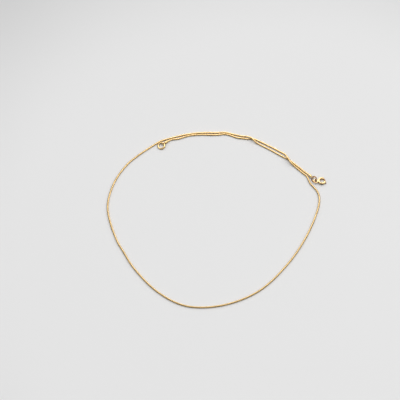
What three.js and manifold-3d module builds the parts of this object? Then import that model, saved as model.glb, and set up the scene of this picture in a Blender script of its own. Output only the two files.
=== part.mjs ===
// Fine chain necklace, unfastened and laid open in a loop on a table.
// Millimetres, +Z up, table at z = 0, +Y away from the viewer.

import * as THREE from 'three';
import { mergeVertices } from 'three/addons/utils/BufferGeometryUtils.js';
import Module from 'manifold-3d';

const wasm = await Module();
wasm.setup();

// Chain
const chainThickness = 1.0; // across the flats
const chainSides = 8;
const stepLength = 5;
const fewestSteps = 2; // between two points of the route
const restHeight = chainThickness / 2;
const meetGap = 0.3; // between the chain's two halves, at the bottom of the loop

// End caps: a cup over each end of the chain, with an eye soldered to its closed end
const capRadius = 0.74;
const capBore = 0.63;
const capDepth = 1.0;
const capLength = 1.5;
const capChamfer = 0.25;
const capEyeReach = 2.3; // from the mouth of the cup to the middle of the eye
const capEyeRadius = 0.88;
const capEyeWire = 0.2;
const capSides = 16;

// Closing ring, lying on the table with one side held up by the cap's eye
const closingRadius = 1.9;
const closingWire = 0.47;

// Jump ring, leaning between the cap's eye and the clasp's eyelet
const jumpRadius = 1.5;
const jumpWire = 0.3;
const jumpHeading = -55; // degrees in plan, from the chain's end toward the clasp
const jumpLean = 45; // degrees up from the table
const jumpToCap = 1.55;
const jumpToEyelet = 1.55;

// Spring-ring clasp; angles in degrees round the ring, counted from its eyelet
const claspRadius = 1.775;
const claspTube = 0.625;
const claspBore = 0.43;
const claspHeading = 6; // degrees in plan, from the eyelet to the ring
const claspTilt = 7.5; // the eyelet's side rests on the jump ring
const eyeletRadius = 1.075;
const eyeletWire = 0.325;
const eyeletOverlap = 0.15;
const eyeletReach = claspRadius + claspTube + eyeletRadius + eyeletWire - eyeletOverlap;
const mouthFrom = 165;
const mouthTo = 225;
const slotFrom = 63;
const slotTo = 153;
const slotWidth = 0.62;

// Gate: curved bolt with a thumb pin, shown shut
const boltRadius = 0.31;
const boltFrom = 95;
const boltTo = 235;
const pinAngle = 143;
const pinRadius = 0.2;
const pinHeadRadius = 0.32;
const pinHeadFrom = 2.52;
const pinHeadTo = 2.86;

// Route of the chain's middle: x, y and height.
// From the closing ring along the top of the loop, over the other strand and down the right side
const ringStrand = [
  [-29.615, 49.385, 1.02],
  [-29.08, 49.83, 0.95],
  [-27.5, 50.95, 0.65],
  [-26.0, 51.65, 0.5],
  [-22.6, 52.1, 0.5],
  [-18.2, 53.7, 0.5],
  [-15.4, 54.48, 0.5],
  [-9.2, 55.05, 0.5],
  [-2.6, 54.88, 0.5],
  [1.2, 54.98, 0.5],
  [4.8, 55.4, 0.5],
  [8.2, 54.6, 0.5],
  [11.5, 53.15, 0.5],
  [14.9, 52.5, 0.5],
  [18.5, 52.1, 0.5],
  [22.0, 51.9, 0.5],
  [26.7, 49.5, 0.5],
  [36.4, 43.6, 0.5],
  [39.6, 41.1, 1.05],
  [41.4, 38.1, 1.7],
  [42.9, 35.25, 1.4],
  [45.1, 33.2, 0.65],
  [47.2, 31.15, 0.5],
  [49.75, 28.6, 0.5],
  [51.0, 27.5, 0.5],
  [51.8, 26.55, 0.5],
  [52.35, 25.45, 0.5],
  [53.2, 22.9, 0.5],
  [53.95, 21.3, 0.5],
  [55.4, 19.4, 0.5],
  [57.0, 17.1, 0.5],
  [58.1, 14.2, 0.5],
  [58.35, 10.5, 0.5],
];
// Round the bottom and up the left side
const openLoop = [
  [56.7, 3.2, 0.5],
  [49.7, -13.3, 0.5],
  [38.5, -30.6, 0.5],
  [22.1, -46.9, 0.5],
  [2.2, -55.3, 0.5],
  [-17.3, -55.6, 0.5],
  [-32.9, -47.1, 0.5],
  [-46.5, -32.2, 0.5],
  [-52.1, -22.7, 0.5],
  [-56.4, -14.8, 0.5],
  [-62.1, 5.9, 0.5],
  [-58.8, 22.5, 0.5],
  [-51.9, 34.4, 0.5],
  [-46.7, 39.7, 0.5],
];
// Back along the top of the loop, over the first strand, to the clasp
const claspStrand = [
  [-41.1, 44.4, 0.5],
  [-36.0, 48.25, 0.5],
  [-33.0, 50.4, 0.5],
  [-31.0, 51.2, 0.5],
  [-23.7, 53.6, 0.5],
  [-15.5, 55.6, 0.5],
  [-6.0, 56.45, 0.5],
  [-0.5, 56.33, 0.5],
  [4.8, 56.58, 0.5],
  [10.1, 55.25, 0.5],
  [15.2, 53.9, 0.55],
  [18.0, 53.15, 1.3],
  [20.5, 51.95, 1.7],
  [22.5, 50.0, 1.1],
  [24.6, 48.6, 0.5],
  [32.0, 44.1, 0.5],
  [38.1, 40.0, 0.5],
  [41.5, 37.95, 0.5],
  [47.2, 32.95, 0.5],
  [49.6, 30.4, 0.72],
  [53.32, 26.9, 1.11],
  [53.82, 26.42, 1.196],
];

const meetPoint = ringStrand.length + 5; // number of the point at the bottom of the loop

const gold = { color: 0xd8a95f, roughness: 0.26, metalness: 1.0 };
const paleGold = { color: 0xe2b873, roughness: 0.18, metalness: 1.0 };
const deepGold = { color: 0xa37845, roughness: 0.24, metalness: 1.0 };

const up = new THREE.Vector3(0, 0, 1);
const radians = THREE.MathUtils.degToRad;

// Direction in plan, raised from the table
function heading(degrees, rise = 0) {
  const flat = Math.cos(radians(rise));
  const angle = radians(degrees);
  return new THREE.Vector3(flat * Math.cos(angle), flat * Math.sin(angle), Math.sin(radians(rise)));
}

function polygon(radius, sides, turn = 0) {
  const corners = [];
  for (let i = 0; i < sides; i++) {
    const angle = ((i + turn) / sides) * 2 * Math.PI;
    corners.push(new THREE.Vector2(radius * Math.cos(angle), radius * Math.sin(angle)));
  }
  return corners;
}

// Part of a route, from one point number to another, with shorter steps where the points are close.
// It never dips below the table, and its section stays upright.
class ChainRoute extends THREE.CatmullRomCurve3 {
  constructor(points, from, to) {
    super(points);
    this.stations = [from];
    for (let i = Math.floor(from); i < to; i++) {
      const gap = points[i].distanceTo(points[i + 1]);
      const count = Math.max(fewestSteps, Math.round(gap / stepLength));
      for (let k = 0; k < count; k++) {
        const station = i + k / count;
        if (station > from && station < to) {
          this.stations.push(station);
        }
      }
    }
    this.stations.push(to);
  }

  get steps() {
    return this.stations.length - 1;
  }

  getUtoTmapping(u) {
    return this.stations[Math.round(u * this.steps)] / (this.points.length - 1);
  }

  getPoint(t, target = new THREE.Vector3()) {
    const point = super.getPoint(t, target);
    point.z = Math.max(point.z, restHeight);
    return point;
  }

  computeFrenetFrames(segments) {
    const frames = { tangents: [], normals: [], binormals: [] };
    for (let i = 0; i <= segments; i++) {
      const tangent = this.getTangentAt(i / segments);
      const normal = up.clone().addScaledVector(tangent, -tangent.z).normalize();
      frames.tangents.push(tangent);
      frames.normals.push(normal);
      frames.binormals.push(tangent.clone().cross(normal));
    }
    return frames;
  }
}

// Part of a circle in the XY plane, angles in degrees
class Arc extends THREE.Curve {
  constructor(radius, from, to) {
    super();
    this.radius = radius;
    this.from = from;
    this.to = to;
  }

  getPoint(t, target = new THREE.Vector3()) {
    const angle = radians(this.from + (this.to - this.from) * t);
    return target.set(this.radius * Math.cos(angle), this.radius * Math.sin(angle), 0);
  }
}

function sweep(shape, path, steps) {
  return new THREE.ExtrudeGeometry(shape, { extrudePath: path, steps, bevelEnabled: false });
}

function toSolid(geometry) {
  const bare = geometry.clone();
  bare.deleteAttribute('normal');
  bare.deleteAttribute('uv');
  const merged = mergeVertices(bare, 1e-4);
  const index = merged.index.array;
  const faces = [];
  for (let i = 0; i < index.length; i += 3) {
    const [a, b, c] = [index[i], index[i + 1], index[i + 2]];
    if (a !== b && b !== c && c !== a) {
      faces.push(a, b, c);
    }
  }
  return new wasm.Manifold(new wasm.Mesh({
    numProp: 3,
    vertProperties: new Float32Array(merged.attributes.position.array),
    triVerts: new Uint32Array(faces),
  }));
}

function toGeometry(solid) {
  const mesh = solid.getMesh();
  const geometry = new THREE.BufferGeometry();
  geometry.setAttribute('position', new THREE.BufferAttribute(mesh.vertProperties, 3));
  geometry.setIndex(new THREE.BufferAttribute(mesh.triVerts, 1));
  geometry.computeVertexNormals();
  return geometry;
}

function makeMesh(name, geometry, finish) {
  const mesh = new THREE.Mesh(geometry, new THREE.MeshStandardMaterial(finish));
  mesh.name = name;
  return mesh;
}

// Turns an object so that its X runs along one direction and its Z faces another
function place(object, position, along, facing) {
  const x = along.clone().normalize();
  const z = facing.clone().addScaledVector(x, -facing.dot(x)).normalize();
  const y = z.clone().cross(x);
  object.quaternion.setFromRotationMatrix(new THREE.Matrix4().makeBasis(x, y, z));
  object.position.copy(position);
  return object;
}

function makeChainHalf(name, points, from, to) {
  const cornerRadius = restHeight / Math.cos(Math.PI / chainSides);
  const section = new THREE.Shape(polygon(cornerRadius, chainSides, 0.5));
  const route = new ChainRoute(points, from, to);
  return makeMesh(name, sweep(section, route, route.steps), gold);
}

// Cup along X with its mouth at the origin, eye in the XY plane
function makeCap(name) {
  const profile = [
    [0, capDepth],
    [capBore, capDepth],
    [capBore, 0],
    [capRadius, 0],
    [capRadius, capLength - capChamfer],
    [capRadius - capChamfer, capLength],
    [0, capLength],
  ].map((p) => new THREE.Vector2(...p));
  const cup = new THREE.LatheGeometry(profile, capSides).rotateZ(-Math.PI / 2);
  const eye = new THREE.TorusGeometry(capEyeRadius, capEyeWire, 8, 20).translate(capEyeReach, 0, 0);
  return makeMesh(name, toGeometry(toSolid(cup).add(toSolid(eye))), paleGold);
}

function makeRing(name, radius, wire, finish) {
  return makeMesh(name, new THREE.TorusGeometry(radius, wire, 12, 32), finish);
}

// Hollow tube bent round from one side of the mouth to the other, slotted for the thumb pin
function makeClaspRing() {
  const section = new THREE.Shape(polygon(claspTube, 16));
  section.holes.push(new THREE.Path(polygon(claspBore, 12)));
  const tube = sweep(section, new Arc(claspRadius, mouthTo - 360, mouthFrom), 30);
  const half = slotWidth / 2;
  const slotShape = new THREE.Shape([
    new THREE.Vector2(-half, -1),
    new THREE.Vector2(half, -1),
    new THREE.Vector2(half, -0.1),
    new THREE.Vector2(-half, -0.1),
  ]);
  const slot = sweep(slotShape, new Arc(claspRadius, slotFrom, slotTo), 12);
  const eyelet = new THREE.TorusGeometry(eyeletRadius, eyeletWire, 12, 28).translate(eyeletReach, 0, 0);
  const ring = toSolid(tube).subtract(toSolid(slot)).add(toSolid(eyelet));
  return makeMesh('clasp_ring', toGeometry(ring), paleGold);
}

function makeClaspGate() {
  const bolt = sweep(new THREE.Shape(polygon(boltRadius, 12)), new Arc(claspRadius, boltFrom, boltTo), 16);
  const pinLength = pinHeadTo - claspRadius;
  const pin = new THREE.CylinderGeometry(pinRadius, pinRadius, pinLength, 10).rotateZ(-Math.PI / 2);
  pin.translate(claspRadius + pinLength / 2, 0, 0);
  const headProfile = [
    [0, pinHeadFrom],
    [pinHeadRadius, pinHeadFrom],
    [pinHeadRadius, pinHeadTo - 0.12],
    [pinHeadRadius - 0.12, pinHeadTo],
    [0, pinHeadTo],
  ].map((p) => new THREE.Vector2(...p));
  const head = new THREE.LatheGeometry(headProfile, 14).rotateZ(-Math.PI / 2);
  const thumb = toSolid(pin).add(toSolid(head)).rotate([0, 0, pinAngle]);
  return makeMesh('clasp_gate', toGeometry(toSolid(bolt).add(thumb)), deepGold);
}

const necklace = new THREE.Group();
necklace.name = 'necklace';

// Chain, in two halves that meet end to end
const routePoints = [...ringStrand, ...openLoop, ...claspStrand].map((p) => new THREE.Vector3(...p));
const lastPoint = routePoints.length - 1;
const halfGap = meetGap / 2;
const ringHalfEnd = meetPoint - halfGap / routePoints[meetPoint].distanceTo(routePoints[meetPoint - 1]);
const claspHalfStart = meetPoint + halfGap / routePoints[meetPoint].distanceTo(routePoints[meetPoint + 1]);
necklace.add(makeChainHalf('chain_ring_half', routePoints, 0, ringHalfEnd));
necklace.add(makeChainHalf('chain_clasp_half', routePoints, claspHalfStart, lastPoint));

// Closing-ring end
const ringMouth = new THREE.Vector3(...ringStrand[1]);
const ringOut = new THREE.Vector3(...ringStrand[0]).sub(ringMouth).normalize();
const ringAcross = up.clone().cross(ringOut);
necklace.add(place(makeCap('end_cap_ring_side'), ringMouth, ringOut, ringAcross));

const ringLink = ringMouth.clone().addScaledVector(ringOut, capEyeReach);
const closingTilt = Math.asin((ringLink.z - closingWire) / (2 * closingRadius));
const closingHeading = THREE.MathUtils.radToDeg(Math.atan2(-ringOut.y, -ringOut.x));
const closingAxis = heading(closingHeading, THREE.MathUtils.radToDeg(closingTilt));
const closingCentre = ringLink.clone().addScaledVector(closingAxis, -closingRadius);
const closingRing = makeRing('closing_ring', closingRadius, closingWire, paleGold);
necklace.add(place(closingRing, closingCentre, closingAxis, up));

// Clasp end
const claspMouth = new THREE.Vector3(...claspStrand[claspStrand.length - 2]);
const claspOut = new THREE.Vector3(...claspStrand[claspStrand.length - 1]).sub(claspMouth).normalize();
const jumpAlong = heading(jumpHeading);
const jumpUpward = heading(jumpHeading + 90, jumpLean);
necklace.add(place(makeCap('end_cap_clasp_side'), claspMouth, claspOut, jumpUpward));

const capEye = claspMouth.clone().addScaledVector(claspOut, capEyeReach);
const jumpCentre = capEye.clone().addScaledVector(jumpAlong, jumpToCap);
jumpCentre.z = jumpRadius * Math.sin(radians(jumpLean)) + jumpWire;
const jumpRing = makeRing('jump_ring', jumpRadius, jumpWire, deepGold);
necklace.add(place(jumpRing, jumpCentre, jumpAlong, jumpAlong.clone().cross(jumpUpward)));

const claspAxis = heading(claspHeading + 180, claspTilt);
const claspCentre = jumpCentre.clone().addScaledVector(jumpAlong, jumpToEyelet);
claspCentre.addScaledVector(claspAxis, -eyeletReach);
claspCentre.z = claspRadius * claspAxis.z + claspTube;
const clasp = new THREE.Group();
clasp.name = 'clasp';
clasp.add(makeClaspRing(), makeClaspGate());
necklace.add(place(clasp, claspCentre, claspAxis, up));

export default necklace;
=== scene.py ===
"""Looks of a fine gold chain necklace that lies unfastened, in an open loop, on a pale table.

A piece is made in millimetres and goes into the scene in metres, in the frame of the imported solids:
+Z up, the table at z = 0, +Y away from the viewer.
"""

import itertools
import logging
import math
from collections.abc import Callable, Mapping, Sequence
from dataclasses import dataclass, field
from enum import Enum
from typing import Union

import bpy
import numpy as np
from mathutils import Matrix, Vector


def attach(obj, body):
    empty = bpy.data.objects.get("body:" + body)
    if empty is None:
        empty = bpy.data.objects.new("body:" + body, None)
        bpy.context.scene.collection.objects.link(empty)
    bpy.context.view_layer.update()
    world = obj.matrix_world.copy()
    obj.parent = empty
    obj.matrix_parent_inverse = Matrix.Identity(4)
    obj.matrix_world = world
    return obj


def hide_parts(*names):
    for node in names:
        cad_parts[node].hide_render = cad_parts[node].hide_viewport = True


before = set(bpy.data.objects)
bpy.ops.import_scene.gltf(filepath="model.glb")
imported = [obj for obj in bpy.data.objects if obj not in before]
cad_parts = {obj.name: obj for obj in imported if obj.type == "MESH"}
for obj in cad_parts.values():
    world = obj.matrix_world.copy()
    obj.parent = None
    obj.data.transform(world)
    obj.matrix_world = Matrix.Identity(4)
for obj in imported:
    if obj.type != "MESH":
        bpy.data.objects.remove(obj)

LOG = logging.getLogger("necklace")
MILLIMETRE = 0.001
BAKE_MAP = "OFBake"
RELIEF = "relief"
TONE = "tone"
UP = np.array((0.0, 0.0, 1.0))
GOLDEN_SHARE = 0.6180339887
TINY = 1e-6
MIDDLE = 0.5
DEEPEST = -1.0
# The corners of a face on a grid, as steps down its rows and over its columns.
CORNER_DOWN = np.array((0, 1, 1, 0))
CORNER_OVER = np.array((0, 0, 1, 1))
# A Mix node repeats its socket names for each kind of data, so those for colours go by number.
MIX_SHARE = 0
MIX_FIRST = 6
MIX_SECOND = 7
MIX_RESULT = 2

Field = Callable[[np.ndarray], np.ndarray]
Colour = tuple[float, float, float]
Point = tuple[float, float, float]
Span = tuple[float, float]
Operand = Union["Shade", float, Point]


class Body(Enum):
    """The bodies that the pieces ride on."""

    NECKLACE = "necklace"
    GATE = "gate"


class Slot(Enum):
    """The record's material slots."""

    CHAIN = "chain_gold"
    BRIGHT = "bright_gold"
    DEEP = "deep_gold"


class Kind(Enum):
    """What a shader socket carries."""

    VALUE = "value"
    COLOUR = "colour"
    VECTOR = "vector"


class Shade:
    """A socket of a finish that takes part in Python expressions."""

    def __init__(self, bench: "Bench", socket: bpy.types.NodeSocket, kind: Kind) -> None:
        """Wraps a socket.

        Args:
            bench: The finish that it belongs to.
            socket: The socket itself.
            kind: What it carries.
        """
        self.bench = bench
        self.socket = socket
        self.kind = kind

    def _with(self, other: Operand, operation: str, turned: bool = False) -> "Shade":
        """Adds the node that works out one operation.

        Args:
            other: The second operand.
            operation: The operation's name in Blender.
            turned: Whether the other operand comes first.

        Returns:
            The result, of this socket's kind.
        """
        first, second = (other, self) if turned else (self, other)
        if self.kind is Kind.COLOUR:
            return self.bench.mixed(operation, 1.0, first, second)
        if self.kind is Kind.VECTOR:
            sockets = {0: self.bench.as_vector(first), 1: self.bench.as_vector(second)}
            settings = {"operation": operation}
            return self.bench.node("ShaderNodeVectorMath", settings, sockets, 0, Kind.VECTOR)
        return self.bench.node("ShaderNodeMath", {"operation": operation}, {0: first, 1: second})

    def __add__(self, other: Operand) -> "Shade":
        """Sum."""
        return self._with(other, "ADD")

    def __radd__(self, other: float) -> "Shade":
        """Sum with a number in front."""
        return self._with(other, "ADD", turned=True)

    def __sub__(self, other: Operand) -> "Shade":
        """Difference."""
        return self._with(other, "SUBTRACT")

    def __rsub__(self, other: float) -> "Shade":
        """Difference from a number."""
        return self._with(other, "SUBTRACT", turned=True)

    def __mul__(self, other: Operand) -> "Shade":
        """Product."""
        return self._with(other, "MULTIPLY")

    def __rmul__(self, other: float) -> "Shade":
        """Product with a number in front."""
        return self._with(other, "MULTIPLY", turned=True)

    def eased(self, low: float, high: float) -> "Shade":
        """Rises smoothly from 0 to 1 as this value goes from low to high.

        Args:
            low: Where the rise starts.
            high: Where it ends.

        Returns:
            The eased value.
        """
        settings = {"interpolation_type": "SMOOTHSTEP"}
        sockets = {"Value": self, "From Min": low, "From Max": high}
        return self.bench.node("ShaderNodeMapRange", settings, sockets)

    def between(self, low: "Shade | Colour", high: Colour) -> "Shade":
        """Goes from one colour at 0 to another at 1 as this value does."""
        return self.bench.mixed("MIX", self, low, high)


class Bench:
    """The node tree of one finish, built node by node."""

    def __init__(self, tree: bpy.types.NodeTree) -> None:
        """Takes a node tree and empties it."""
        self.tree = tree
        self.tree.nodes.clear()

    def node(
        self,
        kind: str,
        settings: Mapping[str, object] | None = None,
        sockets: Mapping[str | int, object] | None = None,
        output: str | int = 0,
        gives: Kind = Kind.VALUE,
    ) -> Shade:
        """Adds a node.

        Args:
            kind: The node's type in Blender.
            settings: The node's own settings, which are set first.
            sockets: A value or a link for each input, by name or number.
            output: The output to hand back.
            gives: What that output carries.

        Returns:
            The chosen output, or the first input of a node that has none.
        """
        made = self.tree.nodes.new(kind)
        for name, value in (settings or {}).items():
            setattr(made, name, value)
        for name, value in (sockets or {}).items():
            if isinstance(value, Shade):
                self.tree.links.new(value.socket, made.inputs[name])
            else:
                made.inputs[name].default_value = value
        if not made.outputs:
            return Shade(self, made.inputs[0], gives)
        return Shade(self, made.outputs[output], gives)

    def as_colour(self, value: Operand) -> "Shade | tuple[float, ...]":
        """Makes a colour socket's value.

        Args:
            value: A link, a number or three numbers.

        Returns:
            The link itself, or four numbers.
        """
        if isinstance(value, Shade):
            return value
        channels = (value, value, value) if isinstance(value, (int, float)) else tuple(value)
        return (*channels, 1.0)

    def as_vector(self, value: Operand) -> "Shade | Point":
        """A vector socket's value from a number, three numbers or a link."""
        return (value, value, value) if isinstance(value, (int, float)) else value

    def mixed(self, blend: str, share: "Shade | float", first: Operand, second: Operand) -> Shade:
        """Adds a Mix node for two colours.

        Args:
            blend: The way of mixing, by its name in Blender.
            share: How much of the mix shows.
            first: The first colour.
            second: The second colour.

        Returns:
            The mixed colour.
        """
        settings = {"data_type": "RGBA", "blend_type": blend}
        sockets = {MIX_SHARE: share, MIX_FIRST: self.as_colour(first), MIX_SECOND: self.as_colour(second)}
        return self.node("ShaderNodeMix", settings, sockets, MIX_RESULT, Kind.COLOUR)

    def place(self) -> Shade:
        """Where a point lies on its piece, in metres."""
        return self.node("ShaderNodeTexCoord", {}, {}, "Object", Kind.VECTOR)

    def marked(self, name: str) -> Shade:
        """A number that the mesh carries at each point."""
        return self.node("ShaderNodeAttribute", {"attribute_name": name}, {}, "Fac")

    def cloud(self, place: Shade, size: float, detail: float = 2.0) -> Shade:
        """Soft noise with features of one size.

        Args:
            place: The coordinates.
            size: The features' size in millimetres.
            detail: How many finer layers it has.

        Returns:
            A value about 0.5.
        """
        sockets = {"Vector": place, "Scale": 1.0 / (size * MILLIMETRE), "Detail": detail}
        return self.node("ShaderNodeTexNoise", {}, sockets)


@dataclass(frozen=True)
class GoldFinish:
    """Polished gold plate, darker and warmer in the recesses as painted shade, paler on the ridges as a
    painted highlight, finely smeared all over.

    The sizes of its drift, smear and grain are in millimetres.
    """

    name: str
    slot: Slot
    body_colour: Colour
    painted_shade_colour: Colour
    painted_highlight_colour: Colour
    roughness: float
    recess_roughness: float
    smear: float
    recess_from: float = 0.05
    ridge_from: float = 0.2
    drift_size: float = 14.0
    smear_size: float = 0.35
    smear_detail: float = 4.0
    grain_size: float = 0.06
    grain_detail: float = 3.0
    grain_height: float = 0.0012
    tone_share: float = 0.10
    drift_share: float = 0.12

    def material(self) -> bpy.types.Material:
        """Makes the material.

        Returns:
            The material, with all its nodes.
        """
        made = bpy.data.materials.new(self.name)
        made.use_nodes = True
        bench = Bench(made.node_tree)
        place = bench.place()
        relief = bench.marked(RELIEF)
        # Painted shade: the sunken parts, found by their relief, turn darker and warmer; they are also made
        # rougher.
        shaded_recess = (0.0 - relief).eased(self.recess_from, 1.0)
        highlit_ridge = relief.eased(self.ridge_from, 1.0)
        drift = bench.cloud(place, self.drift_size)
        smear = bench.cloud(place, self.smear_size, self.smear_detail)
        grain = bench.cloud(place, self.grain_size, self.grain_detail)
        tone = bench.marked(TONE)
        lightness = 1.0 + self.drift_share * (drift - MIDDLE) + self.tone_share * (tone - MIDDLE)
        # A painted highlight pales the ridges, then painted shade darkens the recesses.
        colour = highlit_ridge.between(self.body_colour, self.painted_highlight_colour)
        colour = shaded_recess.between(colour, self.painted_shade_colour) * lightness
        rough = self.roughness + self.smear * (smear - MIDDLE)
        rough = rough + (self.recess_roughness - self.roughness) * shaded_recess
        bump = {"Height": grain, "Distance": self.grain_height * MILLIMETRE, "Strength": 1.0}
        normal = bench.node("ShaderNodeBump", {}, bump, "Normal", Kind.VECTOR)
        sockets = {"Base Color": colour, "Metallic": 1.0, "Roughness": rough, "Normal": normal}
        shader = bench.node("ShaderNodeBsdfPrincipled", {}, sockets)
        bench.node("ShaderNodeOutputMaterial", {}, {"Surface": shader})
        return made


# In each finish the recess colour is painted shade and the ridge colour is a painted highlight.
CHAIN_GOLD = GoldFinish(
    name="gold_of_the_chain",
    slot=Slot.CHAIN,
    body_colour=(0.58, 0.39, 0.16),
    painted_shade_colour=(0.275, 0.162, 0.05),
    painted_highlight_colour=(0.71, 0.525, 0.27),
    roughness=0.24,
    recess_roughness=0.42,
    smear=0.10,
)
BRIGHT_GOLD = GoldFinish(
    name="gold_of_the_clasp",
    slot=Slot.BRIGHT,
    body_colour=(0.62, 0.435, 0.21),
    painted_shade_colour=(0.14, 0.083, 0.026),
    painted_highlight_colour=(0.78, 0.615, 0.36),
    roughness=0.17,
    recess_roughness=0.36,
    smear=0.08,
)
SATIN_GOLD = GoldFinish(
    name="gold_of_the_caps_and_closing_ring",
    slot=Slot.BRIGHT,
    body_colour=(0.56, 0.39, 0.175),
    painted_shade_colour=(0.18, 0.108, 0.036),
    painted_highlight_colour=(0.71, 0.525, 0.275),
    roughness=0.30,
    recess_roughness=0.42,
    smear=0.10,
)
DEEP_GOLD = GoldFinish(
    name="gold_of_the_link_and_bolt",
    slot=Slot.DEEP,
    body_colour=(0.30, 0.145, 0.035),
    painted_shade_colour=(0.11, 0.05, 0.014),
    painted_highlight_colour=(0.38, 0.20, 0.065),
    roughness=0.20,
    recess_roughness=0.36,
    smear=0.08,
)


@dataclass(frozen=True)
class TableFinish:
    """A matt pale table top with the faintest mottling, and painted shade that makes it a little darker
    away from its middle.

    The mottling's size is in millimetres, and the middle and the painted shade's reach are in metres.
    """

    name: str = "pale_table_top"
    colour: Colour = (0.80, 0.80, 0.80)
    mottle: float = 0.012
    mottle_size: float = 60.0
    middle: Point = (0.03, -0.02, 0.0)
    painted_shade_reach: Span = (0.14, 0.30)
    painted_shade_share: float = 0.29
    roughness: float = 0.75
    gloss: float = 0.2

    def material(self) -> bpy.types.Material:
        """Makes the material.

        Returns:
            The material, with all its nodes.
        """
        made = bpy.data.materials.new(self.name)
        made.use_nodes = True
        bench = Bench(made.node_tree)
        place = bench.place()
        mottle = bench.cloud(place, self.mottle_size)
        away = {0: place - self.middle}
        reach = bench.node("ShaderNodeVectorMath", {"operation": "LENGTH"}, away, "Value")
        # Painted shade: the top darkens away from its middle.
        lightness = 1.0 + self.mottle * (mottle - MIDDLE) - self.painted_shade_share * reach.eased(*self.painted_shade_reach)
        plain = bench.node("ShaderNodeCombineColor", {}, dict(enumerate(self.colour)), "Color", Kind.COLOUR)
        sockets = {"Roughness": self.roughness, "Specular IOR Level": self.gloss}
        sockets["Base Color"] = plain * lightness
        shader = bench.node("ShaderNodeBsdfPrincipled", {}, sockets)
        bench.node("ShaderNodeOutputMaterial", {}, {"Surface": shader})
        return made


@dataclass
class Shell:
    """A closed surface before it becomes a mesh: its points in millimetres and its faces."""

    points: np.ndarray
    faces: np.ndarray
    relief: np.ndarray
    tone: np.ndarray
    uv: np.ndarray | None = None

    def placed(self, origin: np.ndarray, along: np.ndarray, facing: np.ndarray) -> "Shell":
        """Turns the surface so that its X runs along one direction and its Z faces another.

        Args:
            origin: Where its own origin goes.
            along: The direction of its X.
            facing: The direction that its Z leans to.

        Returns:
            The placed surface.
        """
        x = along / np.linalg.norm(along)
        z = facing - x * (facing @ x)
        z = z / np.linalg.norm(z)
        turn = np.stack((x, np.cross(z, x), z))
        return Shell(self.points @ turn + origin, self.faces, self.relief, self.tone, self.uv)

    def mesh(self, name: str) -> bpy.types.Mesh:
        """Makes the mesh, in metres.

        Args:
            name: The mesh's name.

        Returns:
            The mesh, shaded smooth.
        """
        mesh = bpy.data.meshes.new(name)
        mesh.from_pydata((self.points * MILLIMETRE).tolist(), [], self.faces.tolist())
        for mark, values in ((RELIEF, self.relief), (TONE, self.tone)):
            layer = mesh.attributes.new(mark, "FLOAT", "POINT")
            layer.data.foreach_set("value", values.astype(np.float32))
        if self.uv is not None:
            layer = mesh.uv_layers.new(name=BAKE_MAP)
            layer.uv.foreach_set("vector", self.uv.astype(np.float32).ravel())
        mesh.shade_smooth()
        mesh.validate()
        return mesh


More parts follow.
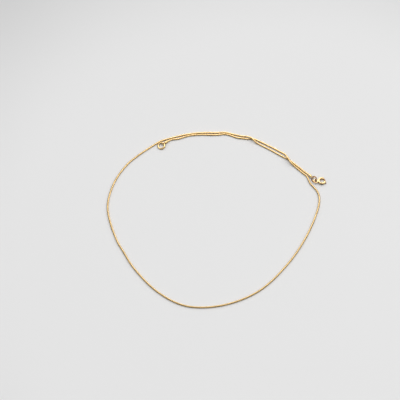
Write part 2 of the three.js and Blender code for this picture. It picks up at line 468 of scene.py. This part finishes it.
@dataclass
class Caster:
    """Casts a closed surface from a distance field, as wax is cast: every edge comes out a little soft."""

    cell: float
    rounds: int = 4
    probe: float = 0.004
    least_slope: float = 0.05
    bend_scale: float = 4.0
    bend_rounds: int = 2
    sharpest_bend: float = 7.0
    fade_cells: float = 2.0

    def cast(
        self, shape: Field, low: Sequence[float], high: Sequence[float], hollow: Field | None = None
    ) -> Shell:
        """Casts the surface where the field is zero.

        Args:
            shape: The distance from the surface, negative inside.
            low: The lowest corner of the room that holds it.
            high: The highest corner.
            hollow: The distance from the piece's own hollow, which no polish reaches; its relief sinks
                lowest there, for a rougher finish and painted shade.

        Returns:
            The surface, with its relief taken from how it bends.
        """
        axes = [np.arange(a, b + self.cell, self.cell) for a, b in zip(low, high)]
        grid = np.stack(np.meshgrid(*axes, indexing="ij"), axis=-1)
        inside = shape(grid.reshape(-1, 3)).reshape(grid.shape[:3]) < 0
        nx, ny, nz = (n - 1 for n in inside.shape)
        corners = list(itertools.product((0, 1), repeat=3))
        filled = sum(inside[i : nx + i, j : ny + j, k : nz + k].astype(int) for i, j, k in corners)
        crossed = (filled > 0) & (filled < len(corners))
        number = np.full(crossed.shape, -1)
        number[crossed] = np.arange(crossed.sum())
        points = grid[:-1, :-1, :-1][crossed] + self.cell / 2
        faces = self._faces(inside, number)
        for _ in range(self.rounds):
            points = self._settled(shape, points)
            points = self._neighbour_mean(points, faces)
        points = self._settled(shape, self._settled(shape, points))
        relief = self._relief(shape, points, faces)
        # Inside the hollow the relief sinks to -1, which the finishes turn into painted shade and a rougher
        # surface.
        if hollow is not None:
            sunk = np.clip(1.0 - hollow(points) / (self.fade_cells * self.cell), 0.0, 1.0)
            relief = relief * (1.0 - sunk) - sunk
        return Shell(points, faces, relief, np.full(len(points), MIDDLE))

    def _faces(self, inside: np.ndarray, number: np.ndarray) -> np.ndarray:
        """Joins the crossed cells round each crossed grid edge.

        Args:
            inside: Which grid points lie inside.
            number: The point number of each cell, or -1.

        Returns:
            Four point numbers a face, facing outwards.
        """
        found = []
        for axis in range(3):
            state = np.moveaxis(inside, axis, 0)
            cells = np.moveaxis(number, axis, 0)
            before = state[:-1, 1:-1, 1:-1]
            after = state[1:, 1:-1, 1:-1]
            for leaving in (True, False):
                i, j, k = np.nonzero(before & ~after if leaving else ~before & after)
                ring = np.stack(
                    (cells[i, j, k], cells[i, j + 1, k], cells[i, j + 1, k + 1], cells[i, j, k + 1]), axis=1
                )
                # With its second axis moved to the front the grid is mirrored, so the ring runs backwards.
                found.append(ring if leaving == (axis != 1) else ring[:, ::-1])
        return np.concatenate(found)

    def _slope(self, shape: Field, points: np.ndarray) -> np.ndarray:
        """The field's slope at each point."""
        steps = np.eye(3) * self.probe
        return np.stack([shape(points + s) - shape(points - s) for s in steps], axis=1) / (2 * self.probe)

    def _settled(self, shape: Field, points: np.ndarray) -> np.ndarray:
        """Moves each point on to the surface, by one cell at most.

        Args:
            shape: The distance from the surface.
            points: The points.

        Returns:
            The moved points.
        """
        slope = self._slope(shape, points)
        steepness = np.maximum((slope**2).sum(axis=1), self.least_slope)
        step = np.clip(shape(points) / steepness, -self.cell, self.cell)
        return points - slope * step[:, None]

    def _neighbour_mean(self, points: np.ndarray, faces: np.ndarray) -> np.ndarray:
        """Finds the mean of each point's neighbours.

        Args:
            points: The points, three numbers each.
            faces: The faces that join them.

        Returns:
            The means.
        """
        ends = np.concatenate([faces[:, [a, (a + 1) % 4]] for a in range(4)])
        a, b = np.concatenate((ends, ends[:, ::-1])).T
        count = np.maximum(np.bincount(a, minlength=len(points)), 1)
        sums = [np.bincount(a, weights=points[b, c], minlength=len(points)) for c in range(3)]
        return np.stack(sums, axis=1) / count[:, None]

    def _relief(self, shape: Field, points: np.ndarray, faces: np.ndarray) -> np.ndarray:
        """How the surface bends: above 0 on ridges and below 0 in recesses.

        Args:
            shape: The distance from the surface.
            points: The surface's points.
            faces: Its faces.

        Returns:
            A number from -1 to 1 for each point.
        """
        slope = self._slope(shape, points)
        normal = slope / np.maximum(np.linalg.norm(slope, axis=1), TINY)[:, None]
        sunk = ((points - self._neighbour_mean(points, faces)) * normal).sum(axis=1)
        bend = self.bend_scale * sunk / self.cell**2
        for _ in range(self.bend_rounds):
            bend = self._neighbour_mean(np.repeat(bend[:, None], 3, axis=1), faces)[:, 0]
        return np.clip(bend / self.sharpest_bend, -1.0, 1.0)


def soft_least(a: np.ndarray, b: np.ndarray, fillet: float) -> np.ndarray:
    """Joins two distance fields.

    Args:
        a: The first field's distances.
        b: The second's.
        fillet: How far the seam between them is filled.

    Returns:
        The distances from both together.
    """
    share = np.clip(0.5 + 0.5 * (b - a) / fillet, 0.0, 1.0)
    return b + (a - b) * share - fillet * share * (1.0 - share)


def soft_most(a: np.ndarray, b: np.ndarray, fillet: float) -> np.ndarray:
    """What two distance fields share, with its edge rounded."""
    return -soft_least(-a, -b, fillet)


def ring_field(points: np.ndarray, centre: float, radius: float, wire: float) -> np.ndarray:
    """A round ring of wire in the XY plane.

    Args:
        points: Where to measure.
        centre: The X of the ring's middle.
        radius: From the middle to the middle of the wire.
        wire: The wire's radius.

    Returns:
        The distances.
    """
    reach = np.hypot(points[:, 0] - centre, points[:, 1]) - radius
    return np.hypot(reach, points[:, 2]) - wire


def heading(degrees: float, rise: float = 0.0) -> np.ndarray:
    """A direction in plan, raised from the table.

    Args:
        degrees: The angle in plan.
        rise: The angle up from the table.

    Returns:
        A unit vector.
    """
    angle, lift = math.radians(degrees), math.radians(rise)
    return np.array((math.cos(lift) * math.cos(angle), math.cos(lift) * math.sin(angle), math.sin(lift)))


def add_piece(
    name: str, shell: Shell, finish: GoldFinish, body: Body, nodes: Sequence[str]
) -> bpy.types.Object:
    """Puts a finished piece into the scene in place of its solids.

    Args:
        name: The piece's name.
        shell: Its surface.
        finish: Its finish.
        body: The body that it rides on.
        nodes: The solids that it stands for.

    Returns:
        The piece.
    """
    piece = bpy.data.objects.new(name, shell.mesh(name))
    bpy.context.scene.collection.objects.link(piece)
    piece.data.materials.append(bpy.data.materials.get(finish.name) or finish.material())
    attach(piece, body.value)
    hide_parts(*nodes)
    return piece


@dataclass
class ChainRoute:
    """The line that the chain's middle follows: x, y and height in millimetres."""

    ring_strand: tuple[Point, ...] = (
        (-29.615, 49.385, 1.02),
        (-29.08, 49.83, 0.95),
        (-27.5, 50.95, 0.65),
        (-26.0, 51.65, 0.5),
        (-22.6, 52.1, 0.5),
        (-18.2, 53.7, 0.5),
        (-15.4, 54.48, 0.5),
        (-9.2, 55.05, 0.5),
        (-2.6, 54.88, 0.5),
        (1.2, 54.98, 0.5),
        (4.8, 55.4, 0.5),
        (8.2, 54.6, 0.5),
        (11.5, 53.15, 0.5),
        (14.9, 52.5, 0.5),
        (18.5, 52.1, 0.5),
        (22.0, 51.9, 0.5),
        (26.7, 49.5, 0.5),
        (36.4, 43.6, 0.5),
        (39.6, 41.1, 1.05),
        (41.4, 38.1, 1.7),
        (42.9, 35.25, 1.4),
        (45.1, 33.2, 0.65),
        (47.2, 31.15, 0.5),
        (49.75, 28.6, 0.5),
        (51.0, 27.5, 0.5),
        (51.8, 26.55, 0.5),
        (52.35, 25.45, 0.5),
        (53.2, 22.9, 0.5),
        (53.95, 21.3, 0.5),
        (55.4, 19.4, 0.5),
        (57.0, 17.1, 0.5),
        (58.1, 14.2, 0.5),
        (58.35, 10.5, 0.5),
    )
    open_loop: tuple[Point, ...] = (
        (56.7, 3.2, 0.5),
        (49.7, -13.3, 0.5),
        (38.5, -30.6, 0.5),
        (22.1, -46.9, 0.5),
        (2.2, -55.3, 0.5),
        (-17.3, -55.6, 0.5),
        (-32.9, -47.1, 0.5),
        (-46.5, -32.2, 0.5),
        (-52.1, -22.7, 0.5),
        (-56.4, -14.8, 0.5),
        (-62.1, 5.9, 0.5),
        (-58.8, 22.5, 0.5),
        (-51.9, 34.4, 0.5),
        (-46.7, 39.7, 0.5),
    )
    clasp_strand: tuple[Point, ...] = (
        (-41.1, 44.4, 0.5),
        (-36.0, 48.25, 0.5),
        (-33.0, 50.4, 0.5),
        (-31.0, 51.2, 0.5),
        (-23.7, 53.6, 0.5),
        (-15.5, 55.6, 0.5),
        (-6.0, 56.45, 0.5),
        (-0.5, 56.33, 0.5),
        (4.8, 56.58, 0.5),
        (10.1, 55.25, 0.5),
        (15.2, 53.9, 0.55),
        (18.0, 53.15, 1.3),
        (20.5, 51.95, 1.7),
        (22.5, 50.0, 1.1),
        (24.6, 48.6, 0.5),
        (32.0, 44.1, 0.5),
        (38.1, 40.0, 0.5),
        (41.5, 37.95, 0.5),
        (47.2, 32.95, 0.5),
        (49.6, 30.4, 0.72),
        (53.32, 26.9, 1.11),
        (53.82, 26.42, 1.196),
    )
    rest_height: float = 0.5
    samples: int = 160

    def line(self) -> np.ndarray:
        """Draws one smooth line through the points.

        Returns:
            Close points along the line, none lower than the chain lies.
        """
        given = np.array((*self.ring_strand, *self.open_loop, *self.clasp_strand))
        first, last = 2 * given[0] - given[1], 2 * given[-1] - given[-2]
        knots = np.vstack((first, given, last))
        share = np.linspace(0, 1, self.samples, endpoint=False)[:, None]
        stretches = [self._stretch(knots[i : i + 4], share) for i in range(len(given) - 1)]
        line = np.vstack((*stretches, given[-1:]))
        line[:, 2] = np.maximum(line[:, 2], self.rest_height)
        return line

    @staticmethod
    def _stretch(knots: np.ndarray, share: np.ndarray) -> np.ndarray:
        """One stretch of the line, between the second and the third of four points.

        Args:
            knots: The four points.
            share: Where on the stretch, from 0 to 1.

        Returns:
            The points of the stretch.
        """
        a, b, c, d = knots
        before, middle, after = (math.sqrt(np.linalg.norm(q - p)) for p, q in ((a, b), (b, c), (c, d)))
        leave = ((b - a) / before - (c - a) / (before + middle) + (c - b) / middle) * middle
        arrive = ((c - b) / middle - (d - b) / (middle + after) + (d - c) / after) * middle
        square, cube = 3 * (c - b) - 2 * leave - arrive, 2 * (b - c) + leave + arrive
        return b + share * (leave + share * (square + share * cube))


@dataclass
class SnakeChain:
    """A round snake chain: short wavy bands, each tucked into the next, that make a smooth bendy tube.

    A row of the profile has its place along the band, as a share of the pitch, its radius and its relief.
    """

    route: ChainRoute
    finish: GoldFinish = CHAIN_GOLD
    name: str = "chain_bands"
    nodes: tuple[str, ...] = ("chain_ring_half", "chain_clasp_half")
    pitch: float = 0.55
    wave: float = 0.13
    waves: int = 2
    columns: int = 16
    end_margin: float = 0.35
    patch_margin: float = 0.05
    # Relief -1 where the bands tuck into each other becomes painted shade, and 1 on each band's crown a
    # painted highlight.
    profile: tuple[tuple[float, float, float], ...] = (
        (-0.47, 0.442, -1.0),
        (-0.27, 0.488, 0.3),
        (0.00, 0.500, 1.0),
        (0.27, 0.488, 0.3),
        (0.47, 0.442, -1.0),
        (0.40, 0.400, -1.0),
        (-0.80, 0.370, -1.0),
    )

    def shell(self) -> Shell:
        """Makes all the bands.

        Returns:
            The bands' surface, with a patch of the colour map for each.
        """
        line = self.route.line()
        steps = np.linalg.norm(np.diff(line, axis=0), axis=1)
        travel = np.concatenate(((0.0,), np.cumsum(steps)))
        count = int((travel[-1] - 2 * self.end_margin) / self.pitch)
        start = (travel[-1] - (count - 1) * self.pitch) / 2
        shift, radius, relief = np.array(self.profile).T
        turn = np.arange(self.columns) * 2 * math.pi / self.columns
        wave = self.wave * np.cos(self.waves * turn)
        centre = start + self.pitch * np.arange(count)
        at = centre[:, None, None] + self.pitch * shift[None, :, None] + wave[None, None, :]
        points = self._ring_points(line, travel, at, radius[None, :, None], turn[None, None, :])
        rows = len(self.profile)
        tone = np.repeat((np.arange(count) * GOLDEN_SHARE) % 1.0, rows * self.columns)
        marks = np.tile(np.repeat(relief, self.columns), count)
        LOG.info("chain: %.1f mm long, %d bands", travel[-1], count)
        return Shell(points.reshape(-1, 3), self._faces(count), marks, tone, self._patches(count))

    @staticmethod
    def _ring_points(
        line: np.ndarray, travel: np.ndarray, at: np.ndarray, radius: np.ndarray, turn: np.ndarray
    ) -> np.ndarray:
        """Points round the line.

        Args:
            line: The line.
            travel: How far along it each of its points is.
            at: How far along it the wanted points are.
            radius: Their distance from the line.
            turn: Their angle round it, from the side.

        Returns:
            The points.
        """
        tangent = np.gradient(line, travel, axis=0)
        tangent = tangent / np.linalg.norm(tangent, axis=1)[:, None]
        upright = UP - tangent * tangent[:, 2:]
        upright = upright / np.linalg.norm(upright, axis=1)[:, None]
        aside = np.cross(tangent, upright)
        middle, normal, side = (
            np.stack([np.interp(at, travel, values[:, c]) for c in range(3)], axis=-1)
            for values in (line, upright, aside)
        )
        across = (radius * np.cos(turn))[..., None]
        above = (radius * np.sin(turn))[..., None]
        return middle + side * across + normal * above

    def _faces(self, count: int) -> np.ndarray:
        """Joins each band's points into a closed ring.

        Args:
            count: How many bands there are.

        Returns:
            Four point numbers a face, facing outwards.
        """
        rows, columns = len(self.profile), self.columns
        band, row, column = (a.reshape(-1, 1) for a in np.indices((count, rows, columns)))
        return (band * rows + (row + CORNER_DOWN) % rows) * columns + (column + CORNER_OVER) % columns

    def _patches(self, count: int) -> np.ndarray:
        """Lays each band's faces out in a square of the colour map.

        Args:
            count: How many bands there are.

        Returns:
            A place on the map for each corner of each face.
        """
        rows, columns = len(self.profile), self.columns
        side = math.ceil(math.sqrt(count))
        edge, room = self.patch_margin, 1 - 2 * self.patch_margin
        band, row, column = (a.reshape(-1, 1) for a in np.indices((count, rows, columns)))
        u = (band % side + edge + room * (column + CORNER_OVER) / columns) / side
        v = (band // side + edge + room * (row + CORNER_DOWN) / rows) / side
        return np.stack((u, v), axis=-1).reshape(-1, 2)

    def build(self) -> list[bpy.types.Object]:
        """Adds the chain to the scene."""
        return [add_piece(self.name, self.shell(), self.finish, Body.NECKLACE, self.nodes)]


@dataclass
class EndCap:
    """A cup over one end of the chain, its rim turned in, with an eye soldered to its closed end."""

    name: str
    node: str
    mouth: np.ndarray
    along: np.ndarray
    facing: np.ndarray
    finish: GoldFinish = SATIN_GOLD
    radius: float = 0.74
    bore: float = 0.63
    rim_bore: float = 0.545
    rim_depth: float = 0.3
    depth: float = 1.0
    length: float = 1.5
    end_round: float = 0.45
    mouth_round: float = 0.08
    bore_round: float = 0.05
    floor_round: float = 0.15
    crimp_at: float = 0.5
    crimp_depth: float = 0.045
    crimp_width: float = 0.11
    eye_reach: float = 2.3
    eye_radius: float = 0.88
    eye_wire: float = 0.2
    solder: float = 0.3
    cell: float = 0.036
    room_margin: float = 0.15
    room_half_height: float = 0.9

    def shape(self, points: np.ndarray) -> np.ndarray:
        """The cup along X, its mouth at the origin, and its eye in the XY plane.

        Args:
            points: Where to measure.

        Returns:
            The distances.
        """
        x = points[:, 0]
        across = np.hypot(points[:, 1], points[:, 2])
        crimp = self.crimp_depth * np.exp(-(((x - self.crimp_at) / self.crimp_width) ** 2))
        cup = soft_most(across - self.radius + crimp, x - self.length, self.end_round)
        cup = soft_most(cup, -x, self.mouth_round)
        eye = ring_field(points, self.eye_reach, self.eye_radius, self.eye_wire)
        cup = soft_least(cup, eye, self.solder)
        return soft_most(cup, -self.hollow(points), self.bore_round)

    def hollow(self, points: np.ndarray) -> np.ndarray:
        """The inside of the cup, narrower at its turned-in rim.

        Args:
            points: Where to measure.

        Returns:
            The distances.
        """
        x = points[:, 0]
        opened = np.clip((x - self.rim_depth / 2) / self.rim_depth, 0.0, 1.0)
        bore = self.rim_bore + (self.bore - self.rim_bore) * opened * opened * (3 - 2 * opened)
        return soft_most(np.hypot(points[:, 1], points[:, 2]) - bore, x - self.depth, self.floor_round)

    def build(self) -> list[bpy.types.Object]:
        """Casts the cap, places it and adds it to the scene.

        Returns:
            The cap.
        """
        reach = self.eye_reach + self.eye_radius + self.eye_wire + self.room_margin
        width = self.eye_radius + self.eye_wire + self.room_margin
        low = (-self.room_margin, -width, -self.room_half_height)
        high = (reach, width, self.room_half_height)
        shell = Caster(self.cell).cast(self.shape, low, high, self.hollow)
        shell = shell.placed(self.mouth, self.along, self.facing)
        return [add_piece(self.name, shell, self.finish, Body.NECKLACE, (self.node,))]

    def eye(self) -> np.ndarray:
        """The middle of the eye."""
        return self.mouth + self.along * self.eye_reach


@dataclass
class WireRing:
    """A ring bent from round wire, its two cut ends butted together."""

    name: str
    node: str
    centre: np.ndarray
    along: np.ndarray
    facing: np.ndarray
    radius: float
    wire: float
    finish: GoldFinish
    cut_at: float
    cut_width: float = 0.035
    cut_round: float = 0.03
    polish: float = 0.25
    steps: int = 112
    sides: int = 24

    def shell(self) -> Shell:
        """Sweeps the wire from one cut end to the other.

        Returns:
            The ring in its own XY plane.
        """
        half = math.degrees(self.cut_width / 2 / self.radius)
        soft = math.degrees(self.cut_round / self.radius)
        angles = np.linspace(self.cut_at + half, self.cut_at + 360 - half, self.steps)
        first, last = angles[:1], angles[-1:]
        angles = np.concatenate((first, first + soft, angles[1:-1], last - soft, last))
        wires = np.full(len(angles), self.wire)
        wires[[0, -1]] -= self.cut_round
        around = np.radians(angles)[:, None]
        turn = (np.arange(self.sides) * 2 * math.pi / self.sides)[None, :]
        reach = self.radius + wires[:, None] * np.cos(turn)
        rise = wires[:, None] * np.sin(turn) * np.ones_like(around)
        points = np.stack((reach * np.cos(around), reach * np.sin(around), rise), axis=-1).reshape(-1, 3)
        relief = np.full(len(points), self.polish)
        relief[: self.sides] = relief[-self.sides :] = DEEPEST
        return Shell(points, self._faces(len(angles)), relief, np.full(len(points), MIDDLE))

    def _faces(self, rows: int) -> np.ndarray:
        """The wire's sides, and its two ends in strips of four-cornered faces.

        Args:
            rows: How many sections the wire has.

        Returns:
            Four point numbers a face, facing outwards.
        """
        row, side = (a.reshape(-1, 1) for a in np.indices((rows - 1, self.sides)))
        walls = (row + CORNER_DOWN) * self.sides + (side + CORNER_OVER) % self.sides
        step = np.arange(self.sides // 2 - 1)[:, None]
        first = np.concatenate((step, step + 1, self.sides - 2 - step, self.sides - 1 - step), axis=1)
        last = first[:, ::-1] + (rows - 1) * self.sides
        return np.concatenate((walls, first, last))

    def build(self) -> list[bpy.types.Object]:
        """Places the ring and adds it to the scene."""
        shell = self.shell().placed(self.centre, self.along, self.facing)
        return [add_piece(self.name, shell, self.finish, Body.NECKLACE, (self.node,))]


@dataclass
class SpringRingClasp:
    """A spring-ring clasp: a hollow ring with a mouth, a slot and an eyelet, and the bolt that shuts it.

    Angles are in degrees round the ring, counted from its eyelet.
    """

    centre: np.ndarray
    along: np.ndarray
    facing: np.ndarray
    ring_finish: GoldFinish = BRIGHT_GOLD
    bolt_finish: GoldFinish = DEEP_GOLD
    radius: float = 1.775
    tube: float = 0.625
    bore: float = 0.43
    mouth: Span = (165.0, 225.0)
    mouth_round: float = 0.14
    slot: Span = (63.0, 153.0)
    slot_width: float = 0.62
    slot_floor: float = 0.1
    edge_round: float = 0.07
    eyelet_reach: float = 3.65
    eyelet_radius: float = 1.075
    eyelet_wire: float = 0.325
    solder: float = 0.42
    bolt_radius: float = 0.31
    bolt: Span = (95.0, 235.0)
    bolt_round: float = 0.14
    pin_at: float = 143.0
    pin_radius: float = 0.2
    pin_solder: float = 0.08
    pin_inset: float = 0.1
    head_radius: float = 0.32
    head: Span = (2.52, 2.86)
    head_round: float = 0.09
    head_dome: float = 0.06
    head_seam: float = 0.05
    ring_cell: float = 0.048
    bolt_cell: float = 0.036
    room_margin: float = 0.15
    room_above: float = 0.12
    bolt_room_near: float = 0.6
    bolt_room_half_height: float = 0.5

    def ring_shape(self, points: np.ndarray) -> np.ndarray:
        """The hollow ring in the XY plane, its eyelet along X.

        Args:
            points: Where to measure.

        Returns:
            The distances.
        """
        x, y, z = points.T
        reach = np.hypot(x, y)
        tube = np.hypot(reach - self.radius, z)
        start, end = (math.radians(a) for a in self.mouth)
        before = x * math.sin(start) - y * math.cos(start)
        past = y * math.cos(end) - x * math.sin(end)
        mouth = np.maximum(before, past)
        ring = soft_most(tube - self.tube, -mouth, self.mouth_round)
        eyelet = ring_field(points, self.eyelet_reach, self.eyelet_radius, self.eyelet_wire)
        ring = soft_least(ring, eyelet, self.solder)
        ring = soft_most(ring, -self.hollow(points), self.edge_round)
        return soft_most(ring, -self._slot_shape(reach, np.arctan2(y, x), z), self.edge_round)

    def hollow(self, points: np.ndarray) -> np.ndarray:
        """The bore of the ring's tube, which the bolt slides in."""
        return np.hypot(np.hypot(points[:, 0], points[:, 1]) - self.radius, points[:, 2]) - self.bore

    def _slot_shape(self, reach: np.ndarray, angle: np.ndarray, z: np.ndarray) -> np.ndarray:
        """The round-ended slot that the thumb pin runs in.

        Args:
            reach: The distance from the ring's axis.
            angle: The angle round it.
            z: The height.

        Returns:
            The distances.
        """
        start, end = (math.radians(a) for a in self.slot)
        outer = self.radius + self.tube
        half_width = self.slot_width / 2
        half_length = (end - start) / 2 * outer - half_width
        aside = np.maximum(np.abs(angle - (start + end) / 2) * outer - half_length, 0.0)
        return np.maximum(np.hypot(aside, z) - half_width, self.radius + self.slot_floor - reach)

    def bolt_shape(self, points: np.ndarray) -> np.ndarray:
        """The curved bolt with its thumb pin, shut.

        Args:
            points: Where to measure.

        Returns:
            The distances.
        """
        x, y, z = points.T
        reach = np.hypot(x, y)
        angle = np.arctan2(y, x) % (2 * math.pi)
        start, end = (math.radians(a) for a in self.bolt)
        across = np.hypot(reach - self.radius, z) - self.bolt_radius
        beyond = (np.abs(angle - (start + end) / 2) - (end - start) / 2) * self.radius
        bolt = soft_most(across, beyond, self.bolt_round)
        turn = math.radians(self.pin_at)
        out = x * math.cos(turn) + y * math.sin(turn)
        off = np.hypot(y * math.cos(turn) - x * math.sin(turn), z)
        low, high = self.head
        pin = np.maximum(off - self.pin_radius, np.maximum(self.radius - out, out - high + self.pin_inset))
        dome = self.head_dome * np.clip(1 - (off / self.head_radius) ** 2, 0.0, 1.0)
        ends = np.maximum(low - out, out - high + self.head_dome - dome)
        head = soft_most(off - self.head_radius, ends, self.head_round)
        return soft_least(soft_least(bolt, pin, self.pin_solder), head, self.head_seam)

    def build(self) -> list[bpy.types.Object]:
        """Casts both pieces, places them and adds them to the scene.

        Returns:
            The ring and the bolt.
        """
        outer = self.radius + self.tube + self.room_margin
        reach = self.eyelet_reach + self.eyelet_radius + self.eyelet_wire + self.room_margin
        thick = self.tube + self.room_above
        corners = (-outer, -outer, -thick), (reach, outer, thick)
        ring = Caster(self.ring_cell).cast(self.ring_shape, *corners, self.hollow)
        far = self.head[1] + self.room_margin
        thin = self.bolt_room_half_height
        corners = (-far, -far, -thin), (self.bolt_room_near, far, thin)
        bolt = Caster(self.bolt_cell).cast(self.bolt_shape, *corners)
        ring, bolt = (shell.placed(self.centre, self.along, self.facing) for shell in (ring, bolt))
        return [
            add_piece("clasp_housing", ring, self.ring_finish, Body.NECKLACE, ("clasp_ring",)),
            add_piece("clasp_bolt", bolt, self.bolt_finish, Body.GATE, ("clasp_gate",)),
        ]


@dataclass
class EndFittings:
    """Where the caps, the rings and the clasp sit at the chain's two ends, linked through each other."""

    route: ChainRoute
    closing_radius: float = 1.9
    closing_wire: float = 0.47
    closing_cut_at: float = 118.0
    jump_radius: float = 1.5
    jump_wire: float = 0.3
    jump_heading: float = -55.0
    jump_lean: float = 45.0
    jump_to_cap: float = 1.55
    jump_to_eyelet: float = 1.55
    jump_cut_at: float = 97.0
    clasp_heading: float = 6.0
    clasp_tilt: float = 7.5

    def ring_side(self) -> list[EndCap | WireRing]:
        """The closing ring's end of the chain.

        Returns:
            The cap and the closing ring.
        """
        end, mouth = (np.array(p) for p in self.route.ring_strand[:2])
        out = (end - mouth) / np.linalg.norm(end - mouth)
        cap = EndCap("ring_side_cap", "end_cap_ring_side", mouth, out, np.cross(UP, out))
        link = cap.eye()
        tilt = math.degrees(math.asin((link[2] - self.closing_wire) / (2 * self.closing_radius)))
        toward = heading(math.degrees(math.atan2(-out[1], -out[0])), tilt)
        ring = WireRing(
            "ring_to_close",
            "closing_ring",
            link - toward * self.closing_radius,
            toward,
            UP,
            self.closing_radius,
            self.closing_wire,
            SATIN_GOLD,
            cut_at=self.closing_cut_at,
        )
        return [cap, ring]

    def clasp_side(self) -> list[EndCap | WireRing | SpringRingClasp]:
        """The clasp's end of the chain.

        Returns:
            The cap, the jump ring and the clasp.
        """
        mouth, end = (np.array(p) for p in self.route.clasp_strand[-2:])
        out = (end - mouth) / np.linalg.norm(end - mouth)
        along = heading(self.jump_heading)
        upward = heading(self.jump_heading + 90, self.jump_lean)
        cap = EndCap("clasp_side_cap", "end_cap_clasp_side", mouth, out, upward)
        centre = cap.eye() + along * self.jump_to_cap
        centre[2] = self.jump_radius * math.sin(math.radians(self.jump_lean)) + self.jump_wire
        ring = WireRing(
            "link_ring",
            "jump_ring",
            centre,
            along,
            np.cross(along, upward),
            self.jump_radius,
            self.jump_wire,
            DEEP_GOLD,
            cut_at=self.jump_cut_at,
        )
        toward = heading(self.clasp_heading + 180, self.clasp_tilt)
        middle = centre + along * self.jump_to_eyelet - toward * SpringRingClasp.eyelet_reach
        middle[2] = SpringRingClasp.radius * toward[2] + SpringRingClasp.tube
        return [cap, ring, SpringRingClasp(middle, toward, UP)]


@dataclass
class SoftBox:
    """A soft studio light: a glowing square panel that faces a point on the table.

    One for the pieces only leaves the table as it is, and the camera doesn't see the panel itself.
    """

    name: str
    place: Point
    side: float
    power: float
    colour: Colour = (1.0, 1.0, 1.0)
    target: Point = (0.0, 0.0, 0.0)
    pieces_only: bool = False

    def build(self, table: bpy.types.Object) -> bpy.types.Object:
        """Adds the light to the scene.

        Args:
            table: The table top, which a light for the pieces alone spares.

        Returns:
            The light.
        """
        lamp = bpy.data.lights.new(self.name, "AREA")
        lamp.shape = "SQUARE"
        lamp.size = self.side
        lamp.energy = self.power
        lamp.color = self.colour
        made = bpy.data.objects.new(self.name, lamp)
        made.location = self.place
        made.rotation_euler = (Vector(self.target) - Vector(self.place)).to_track_quat("-Z", "Y").to_euler()
        bpy.context.scene.collection.objects.link(made)
        if self.pieces_only:
            made.visible_camera = False
            spared = bpy.data.collections.new(f"spared_by_{self.name}")
            spared.objects.link(table)
            made.light_linking.receiver_collection = spared
            spared.collection_objects[0].light_linking.link_state = "EXCLUDE"
        return made


@dataclass
class Studio:
    """The table, the light and the camera.

    Lengths are in metres, apart from the sensor's in millimetres. The viewer is a direction, and the spread
    of the dim part of the room round it is given as the cosines where it starts and is full.
    """

    table_side: float = 6.0
    table_drop: float = 0.00001
    table: TableFinish = field(default_factory=TableFinish)
    room_low: float = 0.16
    room_high: float = 0.95
    room_rise: Span = (0.0, 0.9)
    viewer: Point = (0.0, -0.82, 0.57)
    viewer_spread: Span = (0.55, 0.92)
    viewer_shade: float = 0.85
    aim: Point = (-0.00967, 0.01101, 0.0)
    distance: float = 0.7
    elevation: float = 60.0
    view_width: float = 0.228
    sensor: float = 36.0
    lights: tuple[SoftBox, ...] = (
        SoftBox("window_panel", place=(0.96, 0.32, 1.23), side=1.6, power=7.4),
        SoftBox("ceiling_panel", place=(-0.25, 0.1, 1.7), side=1.4, power=8.0),
        SoftBox(
            "near_panel",
            place=(0.025, 0.12, 0.075),
            side=0.15,
            power=0.24,
            target=(0.02, 0.05, 0.0),
            pieces_only=True,
        ),
    )

    def build(self) -> None:
        """Adds the table, the room, the lights and the camera."""
        table = self._add_table()
        self._add_room()
        for light in self.lights:
            light.build(table)
        self._add_camera()

    def _add_table(self) -> bpy.types.Object:
        """Adds the table top, just under the chain.

        Returns:
            The table top.
        """
        half = self.table_side / 2
        mesh = bpy.data.meshes.new("table_top")
        corners = [(-half, -half, 0.0), (half, -half, 0.0), (half, half, 0.0), (-half, half, 0.0)]
        mesh.from_pydata(corners, [], [(0, 1, 2, 3)])
        mesh.materials.append(self.table.material())
        top = bpy.data.objects.new("table_top", mesh)
        top.location.z = -self.table_drop
        bpy.context.scene.collection.objects.link(top)
        return top

    def _add_room(self) -> None:
        """Surrounds the table with a plain room, lighter overhead and dim where the viewer stands."""
        world = bpy.data.worlds.new("plain_room")
        world.use_nodes = True
        bpy.context.scene.world = world
        bench = Bench(world.node_tree)
        way = bench.node("ShaderNodeTexCoord", {}, {}, "Generated", Kind.VECTOR)
        height = bench.node("ShaderNodeSeparateXYZ", {}, {"Vector": way}, "Z")
        sockets = {0: way, 1: self.viewer}
        facing = bench.node("ShaderNodeVectorMath", {"operation": "DOT_PRODUCT"}, sockets, "Value")
        strength = self.room_low + (self.room_high - self.room_low) * height.eased(*self.room_rise)
        strength = strength * (1.0 - self.viewer_shade * facing.eased(*self.viewer_spread))
        glow = {"Color": (1.0, 1.0, 1.0, 1.0), "Strength": strength}
        shader = bench.node("ShaderNodeBackground", {}, glow)
        bench.node("ShaderNodeOutputWorld", {}, {"Surface": shader})

    def _add_camera(self) -> None:
        """Adds the camera at the photo's viewing angle."""
        lens = bpy.data.cameras.new("photo_view")
        lens.sensor_width = self.sensor
        lens.lens = self.sensor * self.distance / self.view_width
        made = bpy.data.objects.new("photo_view", lens)
        rise = math.radians(self.elevation)
        back = Vector((0.0, -math.cos(rise), math.sin(rise)))
        made.location = Vector(self.aim) + back * self.distance
        made.rotation_euler = (-back).to_track_quat("-Z", "Y").to_euler()
        bpy.context.scene.collection.objects.link(made)
        bpy.context.scene.camera = made


def main() -> None:
    """Builds and reports the necklace's pieces in order, then adds the table, the light and the camera."""
    logging.basicConfig(level=logging.INFO, format="%(message)s")
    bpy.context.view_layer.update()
    bpy.context.scene.view_settings.view_transform = "Standard"
    route = ChainRoute()
    fittings = EndFittings(route)
    for part in (SnakeChain(route), *fittings.ring_side(), *fittings.clasp_side()):
        for piece in part.build():
            LOG.info("%s: %d faces", piece.name, len(piece.data.polygons))
    Studio().build()


if __name__ == "__main__":
    main()
